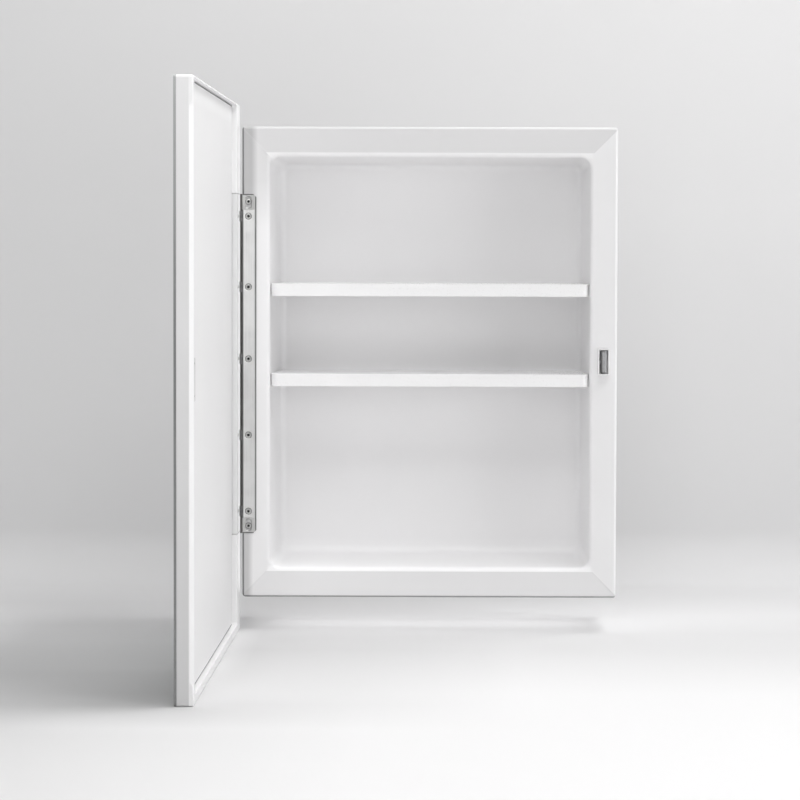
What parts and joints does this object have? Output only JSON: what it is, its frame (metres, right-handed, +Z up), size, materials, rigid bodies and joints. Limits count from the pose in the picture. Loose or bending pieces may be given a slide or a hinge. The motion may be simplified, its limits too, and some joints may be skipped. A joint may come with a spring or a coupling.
{
  "type": "mirrored medicine cabinet",
  "caption": "Wall-hung white medicine cabinet with a sloping rim and fixed shelves, and a mirrored door on a long steel hinge that closes on a magnetic catch.",
  "frame": {"origin": "middle of the flat back that lies on the wall of the room", "axes": "+X to the right as seen from the room, +Y into the wall, +Z up"},
  "size_m": [0.3833, 0.4814, 0.5108],
  "materials": {
    "cabinet_shell": "white moulded plastic with a soft gloss",
    "upper_shelf": "white moulded plastic with a soft gloss",
    "lower_shelf": "white moulded plastic with a soft gloss",
    "hinge_base_plate": "zinc-plated sheet steel",
    "body_leaf": "zinc-plated sheet steel",
    "hinge_pin": "dark drawn steel wire",
    "body_leaf_screws": "zinc-plated steel",
    "base_plate_screws": "zinc-plated steel",
    "catch_housing": "white moulded plastic",
    "catch_magnet": "dark grey ferrite magnet",
    "catch_pole_plates": "plated steel",
    "catch_pin": "plated steel",
    "door_frame": "white moulded plastic with a soft gloss",
    "mirror_glass": "silvered glass with a polished bevel",
    "mirror_tape": "black foam mounting tape",
    "filler_board": "brown hardboard",
    "back_panel": "white sheet with a soft gloss",
    "door_leaf": "steel painted white",
    "door_leaf_screws": "steel painted white",
    "strike_plate": "zinc-plated sheet steel",
    "strike_screws": "zinc-plated steel"
  },
  "bodies": {
    "cabinet": {"cabinet_shell": "cabinet_shell", "upper_shelf": "upper_shelf", "lower_shelf": "lower_shelf", "hinge_base_plate": "hinge_base_plate", "body_leaf": "body_leaf", "hinge_pin": "hinge_pin", "body_leaf_screws": "body_leaf_screws", "base_plate_screws": "base_plate_screws", "catch_housing": "catch_housing", "catch_magnet": "catch_magnet", "catch_pole_plates": "catch_pole_plates", "catch_pin": "catch_pin"},
    "door": {"door_frame": "door_frame", "mirror_glass": "mirror_glass", "mirror_tape": "mirror_tape", "filler_board": "filler_board", "back_panel": "back_panel", "door_leaf": "door_leaf", "door_leaf_screws": "door_leaf_screws", "strike_plate": "strike_plate", "strike_screws": "strike_screws"}
  },
  "joints": [
    {"name": "door_hinge", "type": "hinge", "parent": "cabinet", "child": "door", "pos_m": [-0.182, -0.0962, -0.0015], "axis": [0, 0, -1], "range_deg": [-90, 11]}
  ]
}
